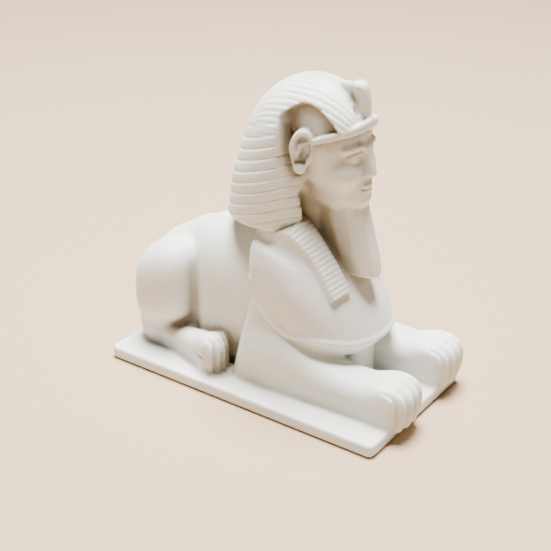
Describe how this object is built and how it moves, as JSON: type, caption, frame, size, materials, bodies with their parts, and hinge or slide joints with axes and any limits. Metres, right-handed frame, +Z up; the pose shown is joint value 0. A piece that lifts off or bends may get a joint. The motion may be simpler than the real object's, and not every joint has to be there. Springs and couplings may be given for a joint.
{
  "type": "sphinx statue",
  "caption": "Small cast sphinx lying on a thin slab: lion's body with paws forward, striped headcloth, brow cobra, long square beard and a smooth cape over the chest.",
  "frame": {"origin": "middle of the slab's underside", "axes": "+Z up, -Y the way the figure looks, -X the figure's right side"},
  "size_m": [0.065, 0.1255, 0.1194],
  "materials": {
    "cast_marble": "smooth off-white cast marble, softly polished, faint warm tint in the hollows"
  },
  "bodies": {
    "root": {"sphinx": "cast_marble"}
  },
  "joints": []
}
